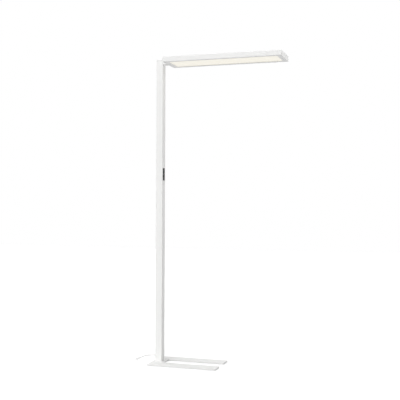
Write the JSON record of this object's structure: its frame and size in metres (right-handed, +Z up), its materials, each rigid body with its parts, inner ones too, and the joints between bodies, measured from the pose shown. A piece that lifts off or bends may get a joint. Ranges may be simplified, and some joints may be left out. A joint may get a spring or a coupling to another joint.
{
  "type": "office floor lamp",
  "caption": "Free-standing office lamp with a forked flat foot, rectangular column, three dimmer keys and a flat cantilevered head lit from below and above, with a coiled mains lead.",
  "frame": {"origin": "on the floor, on the axis of the column", "axes": "+Z up along the column, +X from the column towards the free end of the head and the open end of the fork, +Y to the left of +X seen from above"},
  "size_m": [0.9972, 0.5622, 1.95],
  "materials": {
    "pale_lacquer": "fine satin powder coat, pale silver white",
    "steel": "zinc-plated",
    "dark_screw": "zinc-plated screw",
    "opal": "opal acrylic, satin",
    "lens": "structured clear acrylic",
    "clear_acrylic": "clear acrylic, polished edges",
    "white_film": "white reflector film",
    "foam": "closed-cell foam",
    "led_board": "white solder mask",
    "green_board": "green solder mask",
    "black_plastic": "fine-grained black moulding",
    "key_plastic": "soft-touch black",
    "grey_rubber": "non-marking rubber",
    "white_rubber": "white flexible plastic",
    "nickel": "nickel-plated brass",
    "white_nylon": "nylon",
    "wire": "insulated wire",
    "tie": "hook-and-loop band"
  },
  "bodies": {
    "lamp": {"base_plate": "pale_lacquer", "foot_screws": "dark_screw", "floor_pads": "grey_rubber", "column_tube": "pale_lacquer", "column_cap": "pale_lacquer", "neck_block": "pale_lacquer", "column_clamp_plate": "steel", "head_clamp_plate": "steel", "column_neck_screws": "dark_screw", "head_neck_screws": "dark_screw", "head_housing": "pale_lacquer", "top_cover": "pale_lacquer", "cover_screws": "dark_screw", "opal_diffuser": "opal", "light_guide": "clear_acrylic", "reflector_sheet": "white_film", "foam_strips": "foam", "edge_strips": "led_board", "gear_tray": "steel", "tray_screws": "dark_screw", "uplight_boards": "led_board", "uplight_lens": "lens", "head_connector": "white_nylon", "light_leads": "wire", "control_bezel": "black_plastic", "control_board": "green_board", "tact_switches": "black_plastic", "cord_gland": "white_rubber", "gland_nut": "white_nylon", "inner_lead": "white_rubber", "driver_carrier": "steel", "carrier_screws": "dark_screw", "terminal_block": "white_nylon", "led_driver": "white_nylon", "driver_screws": "dark_screw", "driver_leads": "wire", "head_cable": "wire", "control_cable": "wire", "mains_cord": "white_rubber", "cord_hank": "white_rubber", "cord_tie": "tie", "plug_body": "white_rubber", "plug_pins": "nickel"},
    "brighter": {"key_brighter": "key_plastic", "plunger_brighter": "white_nylon"},
    "power": {"key_power": "key_plastic", "plunger_power": "white_nylon"},
    "dimmer": {"key_dimmer": "key_plastic", "plunger_dimmer": "white_nylon"}
  },
  "joints": [
    {"name": "brighter_press", "type": "slide", "parent": "lamp", "child": "brighter", "axis": [-1, 0, 0], "range_m": [0, 0.0008], "stiffness_N_per_m": 1500, "springref_m": -0.0004},
    {"name": "power_press", "type": "slide", "parent": "lamp", "child": "power", "axis": [-1, 0, 0], "range_m": [0, 0.0008], "stiffness_N_per_m": 1500, "springref_m": -0.0004},
    {"name": "dimmer_press", "type": "slide", "parent": "lamp", "child": "dimmer", "axis": [-1, 0, 0], "range_m": [0, 0.0008], "stiffness_N_per_m": 1500, "springref_m": -0.0004}
  ]
}
